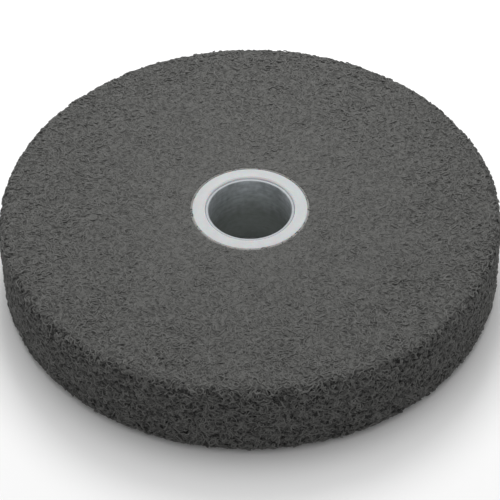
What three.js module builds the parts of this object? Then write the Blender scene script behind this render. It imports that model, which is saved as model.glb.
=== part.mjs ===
// Felt polishing wheel for a lapidary bench machine: plies of nylon-fibre felt pressed into one thick
// disc, bonded to a bush with a steel-lined bore. Millimetres. The wheel lies flat: its axis is +Z, and
// the origin is on the axis, midway between the two faces.
import * as THREE from 'three';

// ---- driving dimensions ----
const wheelDiameter = 152.4; // outside of the felt, a 6 inch wheel
const wheelWidth = 25.4; // face to face, 1 inch
const boreDiameter = 25.4; // slides over a 1 inch arbor
const plyCount = 8; // felt plies pressed together
const plyGap = 0.02; // resin skin between two plies
const edgeRadius = 2.8; // rounding left on both rims of the felt when the wheel is dressed

const sleeveWall = 0.95; // steel liner of the bore
const sleeveRecess = 0.5; // how far each end of the liner stops short of the wheel's face
const sleeveChamfer = 0.15;
const sleeveClearance = 0.05; // radial, between the liner and the bush

const bushWall = 4.0; // radial thickness of the bush
const bushChamfer = 0.25; // outer edges
const mouthChamfer = 0.4; // inner edges, which lead the arbor in
const grooveCount = 2; // grooves around the bush that key the adhesive
const grooveWidth = 2.0;
const grooveDepth = 0.6;

const glueThickness = 0.4; // adhesive between the bush and the felt
const glueClearance = 0.02; // on each side of the adhesive
const glueRecess = 0.05; // how far the adhesive stops short of the wheel's faces

const segments = 72; // flats around every ring; shared, so nested rings stay parallel
const edgeSteps = 5; // flats across one rounded rim

// ---- radii, from the bore outwards, and heights ----
const boreRadius = boreDiameter / 2;
const sleeveRadius = boreRadius + sleeveWall;
const bushBore = sleeveRadius + sleeveClearance;
const bushRadius = bushBore + bushWall;
const glueInner = bushRadius + glueClearance;
const glueOuter = glueInner + glueThickness;
const feltBore = glueOuter + glueClearance;
const wheelRadius = wheelDiameter / 2;

const halfWidth = wheelWidth / 2;
const plyThickness = (wheelWidth - (plyCount - 1) * plyGap) / plyCount;
const grooveDrop = Math.min(grooveDepth, bushWall / 3); // a groove never cuts through the bush
const grooveHeights = Array.from(
  { length: grooveCount },
  (_, i) => -halfWidth + (wheelWidth * (i + 1)) / (grooveCount + 1),
);

// ---- materials ----
const felt = new THREE.MeshStandardMaterial({ color: 0x5a5a58, roughness: 1.0, metalness: 0.0 });
const nylon = new THREE.MeshStandardMaterial({ color: 0xd2d5d6, roughness: 0.45, metalness: 0.0 });
const steel = new THREE.MeshStandardMaterial({ color: 0x6d7072, roughness: 0.4, metalness: 1.0 });
const epoxy = new THREE.MeshStandardMaterial({ color: 0x8d8a80, roughness: 0.3, metalness: 0.0 });

// A closed ring: the section [radius, height], listed anticlockwise, is spun around the wheel's axis.
function ring(name, section, material) {
  const outline = [...section, section[0]].map(([radius, height]) => new THREE.Vector2(radius, height));
  const geometry = new THREE.LatheGeometry(outline, segments);
  geometry.rotateX(Math.PI / 2);
  const mesh = new THREE.Mesh(geometry, material);
  mesh.name = name;
  return mesh;
}

// Points of a quarter-round corner, from angle `from` to `from` + 90 degrees around its centre.
function quarterRound(centreRadius, centreHeight, radius, from) {
  return Array.from({ length: edgeSteps + 1 }, (_, i) => {
    const angle = from + (i / edgeSteps) * (Math.PI / 2);
    return [centreRadius + radius * Math.cos(angle), centreHeight + radius * Math.sin(angle)];
  });
}

// One pressed ply. The first and last carry the rounded rims of the wheel.
function feltPly(index) {
  const low = -halfWidth + index * (plyThickness + plyGap);
  const high = low + plyThickness;
  const round = Math.min(edgeRadius, plyThickness * 0.9);
  const lowCorner = index === 0
    ? quarterRound(wheelRadius - round, low + round, round, -Math.PI / 2)
    : [[wheelRadius, low]];
  const highCorner = index === plyCount - 1
    ? quarterRound(wheelRadius - round, high - round, round, 0)
    : [[wheelRadius, high]];
  return ring(`web_ply_${index + 1}`, [[feltBore, low], ...lowCorner, ...highCorner, [feltBore, high]], felt);
}

// The bush, flush with both faces of the felt, with keying grooves around its outside.
function hubBush() {
  const c = bushChamfer;
  const m = mouthChamfer;
  const grooves = grooveHeights.flatMap((middle) => [
    [bushRadius, middle - grooveWidth / 2],
    [bushRadius - grooveDrop, middle - grooveWidth / 2],
    [bushRadius - grooveDrop, middle + grooveWidth / 2],
    [bushRadius, middle + grooveWidth / 2],
  ]);
  const section = [
    [bushBore, -halfWidth + m],
    [bushBore + m, -halfWidth],
    [bushRadius - c, -halfWidth],
    [bushRadius, -halfWidth + c],
    ...grooves,
    [bushRadius, halfWidth - c],
    [bushRadius - c, halfWidth],
    [bushBore + m, halfWidth],
    [bushBore, halfWidth - m],
  ];
  return ring('hub_bush', section, nylon);
}

// The steel liner pressed into the bush; the arbor runs through it.
function boreSleeve() {
  const c = sleeveChamfer;
  const end = halfWidth - sleeveRecess;
  const section = [
    [boreRadius, -end + c],
    [boreRadius + c, -end],
    [sleeveRadius - c, -end],
    [sleeveRadius, -end + c],
    [sleeveRadius, end - c],
    [sleeveRadius - c, end],
    [boreRadius + c, end],
    [boreRadius, end - c],
  ];
  return ring('bore_sleeve', section, steel);
}

// The cured adhesive between bush and felt, with a rib in each groove. It stops just below both faces.
function bushAdhesive() {
  const end = halfWidth - glueRecess;
  const ribWidth = grooveWidth - 2 * glueClearance;
  const ribs = [...grooveHeights].reverse().flatMap((middle) => [
    [glueInner, middle + ribWidth / 2],
    [glueInner - grooveDrop, middle + ribWidth / 2],
    [glueInner - grooveDrop, middle - ribWidth / 2],
    [glueInner, middle - ribWidth / 2],
  ]);
  const section = [[glueInner, -end], [glueOuter, -end], [glueOuter, end], [glueInner, end], ...ribs];
  return ring('bush_adhesive', section, epoxy);
}

// ---- the wheel ----
const web = new THREE.Group();
for (let index = 0; index < plyCount; index += 1) web.add(feltPly(index));

const hub = new THREE.Group();
hub.add(hubBush(), boreSleeve(), bushAdhesive());

const wheel = new THREE.Group();
wheel.add(web, hub);
export default wheel;
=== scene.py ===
from math import cos, pi, radians, sin

import bmesh
import bpy
import numpy as np
from mathutils import Euler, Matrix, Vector


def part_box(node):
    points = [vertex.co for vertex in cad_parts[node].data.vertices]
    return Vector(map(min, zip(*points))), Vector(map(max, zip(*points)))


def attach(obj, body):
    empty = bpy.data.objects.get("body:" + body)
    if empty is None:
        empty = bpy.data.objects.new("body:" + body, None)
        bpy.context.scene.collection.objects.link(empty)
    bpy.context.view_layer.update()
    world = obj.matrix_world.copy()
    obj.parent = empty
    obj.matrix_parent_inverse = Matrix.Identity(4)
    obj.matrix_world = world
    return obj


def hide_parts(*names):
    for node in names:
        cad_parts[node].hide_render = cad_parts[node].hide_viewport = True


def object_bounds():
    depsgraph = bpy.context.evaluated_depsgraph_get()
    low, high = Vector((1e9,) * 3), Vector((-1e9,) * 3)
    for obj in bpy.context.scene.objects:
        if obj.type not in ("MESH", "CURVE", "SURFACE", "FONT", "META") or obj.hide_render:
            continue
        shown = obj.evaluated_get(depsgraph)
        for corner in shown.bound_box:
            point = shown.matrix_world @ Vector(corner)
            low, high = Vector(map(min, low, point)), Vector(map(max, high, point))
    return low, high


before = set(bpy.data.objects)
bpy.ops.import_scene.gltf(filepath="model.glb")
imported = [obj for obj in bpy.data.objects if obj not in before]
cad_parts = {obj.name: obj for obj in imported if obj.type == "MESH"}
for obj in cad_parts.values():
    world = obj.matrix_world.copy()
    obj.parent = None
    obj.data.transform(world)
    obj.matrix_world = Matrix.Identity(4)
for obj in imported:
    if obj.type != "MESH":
        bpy.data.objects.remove(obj)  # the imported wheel: bodies, nodes, joints and record
cad_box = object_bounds()


# ---- Camera ----
# The wheel lies flat on a table and is seen from well above, from a little under a metre away,
# through a long lens, so that the near and far rims are almost the same size.
mm = 0.001
rise = radians(44.64)
distance = 783.4 * mm
aim = Vector((-0.12 * mm, -5.26 * mm, 0.0))
camera = bpy.data.objects.new("camera", bpy.data.cameras.new("camera"))
camera.data.sensor_width = 36.0
camera.data.lens = 184.1
camera.location = aim + distance * Vector((0.0, -cos(rise), sin(rise)))
tilt = Euler((pi / 2 - rise, 0.0, 0.0)).to_matrix()
roll = Euler((0.0, 0.0, radians(-0.63))).to_matrix()
camera.rotation_euler = (tilt @ roll).to_euler()
bpy.context.scene.collection.objects.link(camera)
bpy.context.scene.camera = camera


# ---- Felt plies ----
# Eight plies of crimped nylon fibre, laid up, pressed and cured with resin into one disc, then
# turned true and dressed, which rounds both rims. Pressing leaves the middle of each face dense
# and smooth; further out and on the cut rim the fibres stand open around small voids, whose
# shade is also painted into the felt's colour.
rim_radius = cad_box[1][0]
half_width = cad_box[1][2]
glue_clearance = 0.02 * mm
felt_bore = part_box("bush_adhesive")[1][0] + glue_clearance
edge_round = 2.8 * mm
face_radius = rim_radius - edge_round  # where the flat of a face ends
corner = edge_round * pi / 2  # length of skin around one rounded rim
rim_flat = 2 * (half_width - edge_round)
skin_length = face_radius + 2 * corner + rim_flat + face_radius - felt_bore


def lean_of(path):
    """How far the skin has turned over the front edge and over the back edge, each up to pi / 2."""
    first = np.clip((path - face_radius) / edge_round, 0, pi / 2)
    second = np.clip((path - face_radius - corner - rim_flat) / edge_round, 0, pi / 2)
    return first, second


def skin_point(path, lift=0.0):
    """(radius, height) on the skin. A path is the radius on the front face, and runs on over the rim."""
    first, second = lean_of(path)
    lean = first + second
    drop = np.clip(path - face_radius - corner, 0, rim_flat)
    inward = np.maximum(path - face_radius - 2 * corner - rim_flat, 0)
    radius = np.minimum(path, face_radius) + edge_round * (np.sin(first) - 1 + np.cos(second)) - inward
    height = half_width - edge_round * (1 - np.cos(first) + np.sin(second)) - drop
    return radius + lift * np.sin(lean), height + lift * np.cos(lean)


def openness_at(radius):
    """0 beside the hub, where the face is pressed dense, rising to 1 where the face ends."""
    return np.clip((radius - felt_bore) / (face_radius - felt_bore), 0, 1)


def swell(points, wavelength, seed, waves=36):
    """A smooth random field of about unit size at each point, made of plane waves of one length."""
    rng = np.random.default_rng(seed)
    direction = rng.normal(size=(waves, 3))
    direction *= 2 * pi / wavelength / np.linalg.norm(direction, axis=1)[:, None]
    phase = rng.uniform(0, 2 * pi, waves)
    return np.cos(points @ direction.T + phase).sum(axis=1) / np.sqrt(waves / 2)


swell_length, swell_height, swell_seed = 24 * mm, 0.07 * mm, 11
lump_length, lump_height, lump_seed = 6.5 * mm, 0.05 * mm, 12
void_length, void_seed = 1.7 * mm, 13
hub_margin = 2.0 * mm  # beside the hub the felt lies level


def hollow(points):
    """0 where the mat is whole, rising to 1 at the bottom of a void between its fibres."""
    return np.clip((-swell(points, void_length, void_seed) - 0.2) / 1.7, 0, 1)


def relief(points):
    """How far the felt stands above its true surface: long swells, lumps and the mouths of voids."""
    radius = np.hypot(points[:, 0], points[:, 1])
    from_hub = np.clip((radius - felt_bore) / hub_margin, 0, 1)
    cut = np.clip((radius - face_radius) / edge_round, 0, 1)
    long_swell = swell_height * swell(points, swell_length, swell_seed)
    lumps = lump_height * swell(points, lump_length, lump_seed)
    void_depth = (0.15 + 0.2 * openness_at(radius) + 0.25 * cut) * mm
    return from_hub * (long_swell + lumps - void_depth * hollow(points))


def corners_of(mesh):
    """The mesh's vertices as an array of points."""
    flat = np.empty(len(mesh.vertices) * 3)
    mesh.vertices.foreach_get("co", flat)
    return flat.reshape(-1, 3)


def mark_hollows(mesh, points):
    """Stores how deep in a void each vertex lies, for the materials to paint shade into the voids."""
    stored = mesh.attributes.new("hollow", "FLOAT", "POINT")
    stored.data.foreach_set("value", hollow(points).astype(np.float32))


def ring_mesh(name, section, steps):
    """A closed ring: the section (radius, height), spun all the way round the wheel's axis."""
    shape = bmesh.new()
    corners = [shape.verts.new((radius, 0, height)) for radius, height in section]
    outline = [shape.edges.new(pair) for pair in zip(corners, corners[1:] + corners[:1])]
    bmesh.ops.spin(
        shape, geom=corners + outline, cent=(0, 0, 0), axis=(0, 0, 1), angle=2 * pi, steps=steps,
        use_merge=True, use_duplicate=False,
    )
    bmesh.ops.recalc_face_normals(shape, faces=shape.faces)
    mesh = bpy.data.meshes.new(name)
    shape.to_mesh(mesh)
    shape.free()
    mesh.shade_smooth()
    return mesh


def place(mesh, material, replaced=()):
    """Puts a finished mesh in the scene as a piece of the wheel, which has one body."""
    piece = bpy.data.objects.new(mesh.name, mesh)
    bpy.context.scene.collection.objects.link(piece)
    mesh.materials.append(material)
    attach(piece, "root")
    if replaced:
        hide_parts(*replaced)


def linear(colour):
    """An sRGB hex colour as linear red, green, blue and alpha."""
    channels = [int(colour[i : i + 2], 16) / 255 for i in (0, 2, 4)]
    return (*[c / 12.92 if c <= 0.04045 else ((c + 0.055) / 1.055) ** 2.4 for c in channels], 1.0)


def add_node(tree, kind, sockets, **settings):
    """Adds a node with its settings, and sets or links its input sockets."""
    made = tree.nodes.new("ShaderNode" + kind)
    for name, value in settings.items():
        setattr(made, name, value)
    for name, value in sockets.items():
        if isinstance(value, bpy.types.NodeSocket):
            tree.links.new(value, made.inputs[name])
        else:
            made.inputs[name].default_value = value
    return made


def new_material(name, **shader):
    """A material with one Principled shader, whose constant sockets are given."""
    material = bpy.data.materials.new(name)
    material.use_nodes = True
    tree = material.node_tree
    principled = tree.nodes["Principled BSDF"]
    for socket, value in shader.items():
        principled.inputs[socket.replace("_", " ")].default_value = value
    return material, tree, principled


def radius_on(tree, place_in):
    """Distance from the wheel's axis."""
    across = add_node(tree, "VectorMath", {0: place_in, 1: (1.0, 1.0, 0.0)}, operation="MULTIPLY")
    return add_node(tree, "VectorMath", {0: across.outputs[0]}, operation="LENGTH").outputs["Value"]


def over_wheel(tree, place_in, near_hub, at_edge, on_rim):
    """A value that runs from beside the hub to the edge of a face, and then to the cut rim."""
    radius = radius_on(tree, place_in)
    face = {"From Min": felt_bore, "From Max": face_radius, "To Min": near_hub, "To Max": at_edge}
    face = add_node(tree, "MapRange", {"Value": radius} | face)
    rim = {"From Min": face_radius, "From Max": rim_radius - 0.5 * mm, "To Max": on_rim - at_edge}
    rim = add_node(tree, "MapRange", {"Value": radius} | rim)
    return add_node(tree, "Math", {0: face.outputs[0], 1: rim.outputs[0]}, operation="ADD").outputs[0]


felt_grey = linear("5e5e5c")
felt_painted_shade = linear("1b1b1a")


def pressed_felt():
    """Resin-bound nylon felt: matt charcoal, a mat of curled fibres, with painted shade in the voids and
    gaps between them.
    """
    material, tree, principled = new_material("resin_bound_nylon_felt", Roughness=0.88, IOR=1.5)
    place_in = add_node(tree, "TexCoord", {}).outputs["Object"]
    # Winding lines where a distorted noise crosses its middle value stand for the fibres of the mat,
    # a few times coarser than real ones. The spaces between the lines are painted darker, as painted
    # shade between the fibres.
    curl_size = 1.3 * mm
    curls = add_node(
        tree, "TexNoise", {"Vector": place_in, "Scale": 1 / curl_size, "Detail": 1.5, "Distortion": 1.0}
    )
    away = add_node(tree, "Math", {0: curls.outputs[0], 1: 0.5}, operation="SUBTRACT")
    away = add_node(tree, "Math", {0: away.outputs[0]}, operation="ABSOLUTE")
    gap = add_node(tree, "MapRange", {"Value": away.outputs[0], "From Min": 0.02, "From Max": 0.17})
    gap_shade_share = over_wheel(tree, place_in, 0.42, 0.62, 0.95)
    gap_painted_shade = add_node(tree, "Math", {0: gap.outputs[0], 1: gap_shade_share}, operation="MULTIPLY")
    # Deep in the voids between the fibres the felt is painted darker still, as painted shade.
    void = add_node(tree, "Attribute", {}, attribute_name="hollow").outputs["Fac"]
    void_shade_share = over_wheel(tree, place_in, 0.15, 0.25, 0.7)
    void_painted_shade = add_node(tree, "Math", {0: void, 1: void_shade_share}, operation="MULTIPLY")
    painted_shade = add_node(tree, "Math", {0: void_painted_shade.outputs[0], 1: gap_painted_shade.outputs[0]}, operation="ADD")
    tone = add_node(tree, "Mix", {0: painted_shade.outputs[0], 6: felt_grey, 7: felt_painted_shade}, data_type="RGBA")
    cloud_size = 9 * mm
    cloud = add_node(tree, "TexNoise", {"Vector": place_in, "Scale": 1 / cloud_size, "Detail": 3.0})
    cloud = add_node(tree, "MapRange", {"Value": cloud.outputs[0], "To Min": 0.88, "To Max": 1.12})
    # The felt is painted darker on the cut rim than on the faces, as painted shade on a side that the light
    # from above reaches less. The random cloud tone is multiplied into the same scale.
    shade = over_wheel(tree, place_in, 0.96, 0.95, 0.78)
    shade = add_node(tree, "Math", {0: cloud.outputs[0], 1: shade}, operation="MULTIPLY")
    tone = add_node(tree, "VectorMath", {0: tone.outputs[2], "Scale": shade.outputs[0]}, operation="SCALE")
    tree.links.new(tone.outputs[0], principled.inputs["Base Color"])
    loose = over_wheel(tree, place_in, 0.6, 0.9, 1.1)
    depth = add_node(tree, "Math", {0: gap.outputs[0], 1: loose}, operation="MULTIPLY")
    bump = add_node(
        tree, "Bump", {"Height": depth.outputs[0], "Strength": 0.9, "Distance": 0.4 * mm}, invert=True
    )
    tree.links.new(bump.outputs[0], principled.inputs["Normal"])
    return material


felt = pressed_felt()
ply_names = sorted(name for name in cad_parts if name.startswith("web_ply"))
rim_middle = face_radius + corner + half_width - edge_round  # path of height 0 on the rim
row_height = 0.5 * mm
felt_steps = 760  # faces about 0.6 mm long at the rim


def felt_ply(name):
    """One ply: its share of the skin, raised by the relief, closed by its bore and hidden faces."""
    low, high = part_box(name)
    is_front = high[2] > half_width - edge_round
    is_back = low[2] < edge_round - half_width
    start = felt_bore if is_front else rim_middle - high[2]
    end = skin_length if is_back else rim_middle - low[2]
    rows = round((end - start) / row_height)
    section = [skin_point(path) for path in np.linspace(start, end, rows + 1)]
    if not is_back:
        section.append((felt_bore, low[2]))
    if not is_front:
        section.append((felt_bore, high[2]))
    mesh = ring_mesh(name + "_felt", section, felt_steps)
    points = corners_of(mesh)
    mark_hollows(mesh, points)
    radius = np.hypot(points[:, 0], points[:, 1])
    over = np.maximum(np.abs(points[:, 2]) - (half_width - edge_round), 0) * np.sign(points[:, 2])
    out = np.maximum(radius - face_radius, 0)
    size = np.maximum(np.hypot(over, out), 1e-9)  # zero inside the ply, where nothing moves
    away = np.stack([points[:, 0] / radius * out, points[:, 1] / radius * out, over], 1) / size[:, None]
    points += away * relief(points)[:, None]
    mesh.vertices.foreach_set("co", points.ravel())
    mesh.update()
    place(mesh, felt, [name])


for ply_name in ply_names:
    felt_ply(ply_name)


# ---- Loose fibres of the felt ----
# The crimped nylon fibres that lie on the skin of the wheel, each bent into small curls by the
# crimping, and bound where it dips into the mat. Real ones are about a fifth of a millimetre thick
# and packed closely. These are drawn twice as thick and fewer, so that single fibres show.
fibre_step = 0.42 * mm
fibre_points = 9
fibre_thickness = 0.4 * mm
crimp_height = 0.05 * mm
buried_ends = 0.16 * mm  # how far both ends dip into the mat
loose_rise = 0.35 * mm  # how far a free end stands up
loose_share = 0.12  # fibres with one end free of the mat
fibre_sinks = 0.6  # how far a fibre follows the felt down into a void
hub_overlap = 0.5 * mm  # how far a fibre may lie over the adhesive and the bush
table_height = -half_width - 0.35 * mm  # the table lies under the longest lumps of the back face
flattened = table_height + 0.65 * fibre_thickness  # lowest line of a fibre pressed on the table


def crimped_fibres(rng, starts):
    """Wandering lines on the skin from these starts, as points in space: fibres, points, xyz."""
    count = len(starts)
    path = starts.copy()
    turn = rng.uniform(0, 2 * pi, count)
    heading = rng.uniform(0, 2 * pi, count)
    curl = rng.normal(0, 1, count)
    phase = rng.uniform(0, 2 * pi, count)
    openness = openness_at(skin_point(path)[0])
    depth = (rng.uniform(-0.06, 0.13, count) - 0.12 * (1 - openness)) * mm
    loose_end = loose_rise * openness * (rng.random(count) < loose_share)
    places = np.empty((count, fibre_points, 3))
    for i in range(fibre_points):
        along = i / (fibre_points - 1)
        lift = depth - buried_ends * abs(2 * along - 1) ** 3 + crimp_height * np.sin(phase + 1.3 * i)
        lift += loose_end * along**2
        radius, height = skin_point(path)
        level = np.stack([radius * np.cos(turn), radius * np.sin(turn), height], 1)
        radius, height = skin_point(path, lift + fibre_sinks * relief(level))
        places[:, i] = np.stack([radius * np.cos(turn), radius * np.sin(turn), height], 1)
        curl = 0.65 * curl + 0.7 * rng.normal(0, 1, count)
        heading += 0.7 * curl
        path = path + fibre_step * np.cos(heading)
        path = np.clip(path, felt_bore - hub_overlap, skin_length + hub_overlap)
        turn += fibre_step * np.sin(heading) / radius
    places[:, :, 2] = np.maximum(places[:, :, 2], flattened)
    return places


def fibre_mesh(name, places, widths):
    """Fibres as square-sectioned tubes with closed ends."""
    curve = bpy.data.curves.new(name, "CURVE")
    curve.dimensions = "3D"
    curve.bevel_depth = fibre_thickness / 2
    curve.bevel_resolution = 0
    curve.use_fill_caps = True
    for line, width in zip(places, widths):
        strand = curve.splines.new("POLY")
        strand.points.add(len(line) - 1)
        strand.points.foreach_set("co", np.hstack([line, np.ones((len(line), 1))]).ravel())
        strand.points.foreach_set("radius", np.full(len(line), width))
    holder = bpy.data.objects.new(name, curve)
    bpy.context.scene.collection.objects.link(holder)
    bpy.context.view_layer.update()
    mesh = bpy.data.meshes.new_from_object(holder.evaluated_get(bpy.context.evaluated_depsgraph_get()))
    mesh.name = name
    bpy.data.objects.remove(holder)
    bpy.data.curves.remove(curve)
    mark_hollows(mesh, corners_of(mesh))
    mesh.shade_smooth()
    return mesh


def nylon_fibre():
    """Crimped nylon filament filled with fine abrasive: charcoal, a little less matt than the mat."""
    material, tree, principled = new_material("crimped_nylon_fibre", Roughness=0.75, IOR=1.53)
    place_in = add_node(tree, "TexCoord", {}).outputs["Object"]
    patch_size = 2.2 * mm
    patches = add_node(tree, "TexNoise", {"Vector": place_in, "Scale": 1 / patch_size, "Detail": 2.0})
    tone = add_node(
        tree, "Mix", {0: patches.outputs[0], 6: linear("484846"), 7: linear("6f6f6d")}, data_type="RGBA"
    )
    # Where a fibre dips into a void it is painted darker, as painted shade.
    void = add_node(tree, "Attribute", {}, attribute_name="hollow").outputs["Fac"]
    void_shade_share = over_wheel(tree, place_in, 0.1, 0.15, 0.4)
    painted_shade = add_node(tree, "Math", {0: void, 1: void_shade_share}, operation="MULTIPLY")
    tone = add_node(tree, "Mix", {0: painted_shade.outputs[0], 6: tone.outputs[2], 7: felt_painted_shade}, data_type="RGBA")
    shade = over_wheel(tree, place_in, 0.95, 0.98, 1.0)
    tone = add_node(tree, "VectorMath", {0: tone.outputs[2], "Scale": shade}, operation="SCALE")
    tree.links.new(tone.outputs[0], principled.inputs["Base Color"])
    return material


fibre = nylon_fibre()
fibres_per_piece = 2600
front_total = 7600
rim_total = 6000
back_total = 3200
rim_paths = (face_radius, face_radius + 2 * corner + rim_flat)
rng = np.random.default_rng(2024)


def on_face(total):
    """Starts spread evenly over the area of a face."""
    return np.sqrt(rng.uniform(felt_bore**2, face_radius**2, total))


def scatter(name, starts):
    """Fibres from these starts, split into pieces that are each small enough to handle."""
    pieces = -(-len(starts) // fibres_per_piece)
    for number, chosen in enumerate(np.array_split(starts, pieces)):
        places = crimped_fibres(rng, chosen)
        widths = rng.uniform(0.75, 1.3, len(chosen))
        place(fibre_mesh(f"{name}_{number + 1}", places, widths), fibre)


scatter("front_fibres", on_face(front_total))
scatter("rim_fibres", rng.uniform(*rim_paths, rim_total))
scatter("back_fibres", skin_length + felt_bore - on_face(back_total))


# ---- Hub bush ----
# A moulded bush of light grey-white nylon, flush with both faces of the felt. Its edges are broken
# by small chamfers, wider at the mouth of the bore. The grooves around its outside, which key the
# adhesive, are out of sight and left out here.
bush_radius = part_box("hub_bush")[1][0]
sleeve_radius, _, sleeve_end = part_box("bore_sleeve")[1]
sleeve_clearance = 0.05 * mm
bush_bore = sleeve_radius + sleeve_clearance
bush_chamfer = 0.25 * mm
mouth_chamfer = 0.4 * mm  # on the inner edges, which lead the arbor in


def moulded_nylon():
    """Moulded glass-filled nylon: near white, with a fine matt skin, and painted light on the chamfered
    mouth and bore, which lie in shade.
    """
    material, tree, principled = new_material(
        "moulded_white_nylon", Roughness=0.55, IOR=1.53, Subsurface_Weight=0.6, Subsurface_Scale=1.5 * mm,
    )
    place_in = add_node(tree, "TexCoord", {}).outputs["Object"]
    mottle_size = 3 * mm
    mottle = add_node(tree, "TexNoise", {"Vector": place_in, "Scale": 1 / mottle_size, "Detail": 4.0})
    tone = add_node(
        tree, "Mix", {0: mottle.outputs[0], 6: linear("adb0b1"), 7: linear("babdbe")}, data_type="RGBA"
    )
    # The inner part of the mouth's chamfer and the bore wall are painted up to 1.45 times lighter, as
    # painted light where they lie in shade.
    mouth = bush_bore + mouth_chamfer
    cut = {"From Min": mouth, "From Max": mouth - 0.1 * mm, "To Min": 1.0, "To Max": 1.45}
    cut = add_node(tree, "MapRange", {"Value": radius_on(tree, place_in)} | cut)
    tone = add_node(tree, "VectorMath", {0: tone.outputs[2], "Scale": cut.outputs[0]}, operation="SCALE")
    tree.links.new(tone.outputs[0], principled.inputs["Base Color"])
    grain_size = 0.25 * mm
    grain = add_node(tree, "TexNoise", {"Vector": place_in, "Scale": 1 / grain_size, "Detail": 2.0})
    bump = add_node(tree, "Bump", {"Height": grain.outputs[0], "Strength": 0.15, "Distance": 0.03 * mm})
    tree.links.new(bump.outputs[0], principled.inputs["Normal"])
    return material


hub_steps = 192
broken_corner = 0.05 * mm


def turned_ring(name, inner, outer, half, inner_chamfer, outer_chamfer):
    """A ring with its four edges chamfered and the corners left by the chamfers broken."""
    upper = [
        (outer, half - outer_chamfer), (outer - outer_chamfer, half),
        (inner + inner_chamfer, half), (inner, half - inner_chamfer),
    ]
    lower = [(radius, -height) for radius, height in reversed(upper)]
    mesh = ring_mesh(name, lower + upper, hub_steps)
    shape = bmesh.new()
    shape.from_mesh(mesh)
    sharp = [edge for edge in shape.edges if edge.calc_face_angle(0) > radians(30)]
    bmesh.ops.bevel(
        shape, geom=sharp, offset=broken_corner, offset_type="OFFSET", segments=2, profile=0.5,
        affect="EDGES", material=-1, clamp_overlap=True,
    )
    shape.to_mesh(mesh)
    shape.free()
    mesh.shade_smooth()
    return mesh


place(
    turned_ring("hub_bush_moulding", bush_bore, bush_radius, half_width, mouth_chamfer, bush_chamfer),
    moulded_nylon(), ["hub_bush"],
)


# ---- Bore sleeve ----
# A short length of steel tube pressed into the bush to line the bore, then bored to size, which
# leaves faint rings on its wall. Its ends, turned square, lie just below the faces.
def bored_steel():
    """Bored steel tube: grey, with faint rings left by the tool, and painted shade that darkens it low down
    and at its recessed ends.
    """
    material, tree, principled = new_material("bored_steel_tube", Metallic=0.6)
    place_in = add_node(tree, "TexCoord", {}).outputs["Object"]
    # Real boring marks are too fine to see from here; these rings are drawn coarser, so that they show.
    ring_spacing = 0.7 * mm
    around = add_node(tree, "Mapping", {"Vector": place_in, "Scale": (0.14, 0.14, 1.0)})
    rings = add_node(
        tree, "TexNoise", {"Vector": around.outputs[0], "Scale": 1 / ring_spacing, "Detail": 2.0}
    )
    blotch_size = 1.6 * mm
    blotch = add_node(tree, "TexNoise", {"Vector": place_in, "Scale": 1 / blotch_size, "Detail": 3.0})
    marks = add_node(tree, "Mix", {0: 0.55, 2: rings.outputs[0], 3: blotch.outputs[0]})
    marks = add_node(tree, "MapRange", {"Value": marks.outputs[0], "From Min": 0.3, "From Max": 0.7})
    steel_tone = add_node(
        tree, "Mix", {0: marks.outputs[0], 6: linear("a0a5a8"), 7: linear("dbe0e4")}, data_type="RGBA"
    )
    # Low in the bore the steel is painted darker, as painted shade. A noise makes the edge of that shade
    # uneven.
    painted_low_shade = add_node(
        tree, "Mix", {0: marks.outputs[0], 6: linear("767b77"), 7: linear("8e9391")}, data_type="RGBA"
    )
    height = add_node(tree, "SeparateXYZ", {"Vector": place_in}).outputs["Z"]
    shade_edge_size = 6 * mm
    shade_edge_noise = add_node(tree, "TexNoise", {"Vector": place_in, "Scale": 1 / shade_edge_size, "Detail": 2.0})
    uneven = add_node(tree, "MapRange", {"Value": shade_edge_noise.outputs[0], "To Min": -5 * mm, "To Max": 5 * mm})
    above = add_node(tree, "Math", {0: height, 1: uneven.outputs[0]}, operation="ADD")
    above = {"Value": above.outputs[0], "From Min": -1.5 * mm, "From Max": 11.5 * mm}
    above = add_node(tree, "MapRange", above)
    tone = add_node(
        tree, "Mix", {0: above.outputs[0], 6: painted_low_shade.outputs[2], 7: steel_tone.outputs[2]}, data_type="RGBA"
    )
    # Near each end, where the sleeve lies recessed below the bush, the steel is painted darker, down to
    # half its tone at the end face, as painted shade in the recess.
    from_middle = add_node(tree, "Math", {0: height}, operation="ABSOLUTE")
    recessed_end_shade = {"From Min": sleeve_end - 0.12 * mm, "From Max": sleeve_end, "To Min": 1.0, "To Max": 0.5}
    recessed_end_shade = add_node(tree, "MapRange", {"Value": from_middle.outputs[0]} | recessed_end_shade)
    tone = add_node(
        tree, "VectorMath", {0: tone.outputs[2], "Scale": recessed_end_shade.outputs[0]}, operation="SCALE"
    )
    tree.links.new(tone.outputs[0], principled.inputs["Base Color"])
    rough = add_node(tree, "MapRange", {"Value": marks.outputs[0], "To Min": 0.48, "To Max": 0.68})
    tree.links.new(rough.outputs[0], principled.inputs["Roughness"])
    bump = add_node(tree, "Bump", {"Height": rings.outputs[0], "Strength": 0.25, "Distance": 0.05 * mm})
    tree.links.new(bump.outputs[0], principled.inputs["Normal"])
    return material


sleeve_wall = 0.95 * mm
sleeve_bore = sleeve_radius - sleeve_wall
sleeve_chamfer = 0.15 * mm
place(
    turned_ring("bore_sleeve_tube", sleeve_bore, sleeve_radius, sleeve_end, sleeve_chamfer, sleeve_chamfer),
    bored_steel(), ["bore_sleeve"],
)


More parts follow.
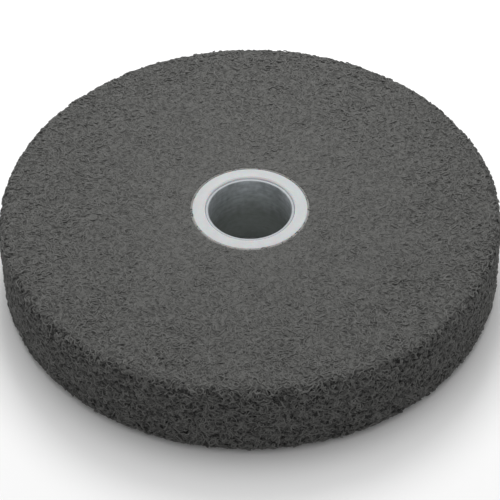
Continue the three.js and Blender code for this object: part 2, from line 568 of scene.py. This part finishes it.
# ---- Bush adhesive ----
# The cured epoxy that fills the narrow ring between the bush and the felt. It shows only as a thin
# line, darkened by felt dust.
def cured_epoxy():
    """Cured epoxy: yellow-grey, slightly glossy, dusted with felt."""
    material, tree, principled = new_material("cured_epoxy", Roughness=0.4, IOR=1.55)
    place_in = add_node(tree, "TexCoord", {}).outputs["Object"]
    dust_size = 0.8 * mm
    dust = add_node(tree, "TexNoise", {"Vector": place_in, "Scale": 1 / dust_size, "Detail": 3.0})
    tone = add_node(
        tree, "Mix", {0: dust.outputs[0], 6: linear("3c3b38"), 7: linear("62605a")}, data_type="RGBA"
    )
    tree.links.new(tone.outputs[2], principled.inputs["Base Color"])
    return material


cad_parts["bush_adhesive"].data.materials.clear()
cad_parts["bush_adhesive"].data.materials.append(cured_epoxy())


# ---- Floor and light ----
# A pale seamless table under soft light: a broad key from above and behind, a smaller lamp behind
# that makes the far side of the wheel brighter than the near one, and an even fill. The rim is lit
# mostly by what the table sends back. The backdrop has its own tone, close to the far table's.
floor_mesh = bpy.data.meshes.new("floor")
sheet = bmesh.new()
bmesh.ops.create_grid(sheet, x_segments=1, y_segments=1, size=4.0)
bmesh.ops.translate(sheet, verts=sheet.verts, vec=(0, 0, table_height))
sheet.to_mesh(floor_mesh)
sheet.free()
floor = bpy.data.objects.new("floor", floor_mesh)
bpy.context.scene.collection.objects.link(floor)
floor_mesh.materials.append(new_material("white_table", Base_Color=linear("f8f8f8"), Roughness=0.9)[0])

key_rise = radians(76.0)
key = bpy.data.objects.new("key", bpy.data.lights.new("key", "SUN"))
key.data.energy = 1.0
key.data.angle = radians(36.0)
key.rotation_euler = (key_rise - pi / 2, 0.0, 0.0)
bpy.context.scene.collection.objects.link(key)

back_rise = radians(55.0)
back_distance = 0.42
back_light = bpy.data.objects.new("back_light", bpy.data.lights.new("back_light", "AREA"))
back_light.data.shape = "DISK"
back_light.data.size = 0.2
back_light.data.energy = 0.95
back_light.location = back_distance * Vector((0.0, cos(back_rise), sin(back_rise)))
back_light.rotation_euler = (back_rise - pi / 2, 0.0, 0.0)
bpy.context.scene.collection.objects.link(back_light)

white = (1.0, 1.0, 1.0, 1.0)
sky = bpy.data.worlds.new("sky")
sky.use_nodes = True
soft_fill = sky.node_tree.nodes["Background"]
soft_fill.inputs["Color"].default_value = white
soft_fill.inputs["Strength"].default_value = 0.45
backdrop = add_node(sky.node_tree, "Background", {"Color": white, "Strength": 0.75})
seen = add_node(sky.node_tree, "LightPath", {}).outputs["Is Camera Ray"]
surround = add_node(
    sky.node_tree, "MixShader", {0: seen, 1: soft_fill.outputs[0], 2: backdrop.outputs[0]}
)
sky.node_tree.links.new(surround.outputs[0], sky.node_tree.nodes["World Output"].inputs["Surface"])
bpy.context.scene.world = sky
bpy.context.scene.view_settings.view_transform = "Standard"
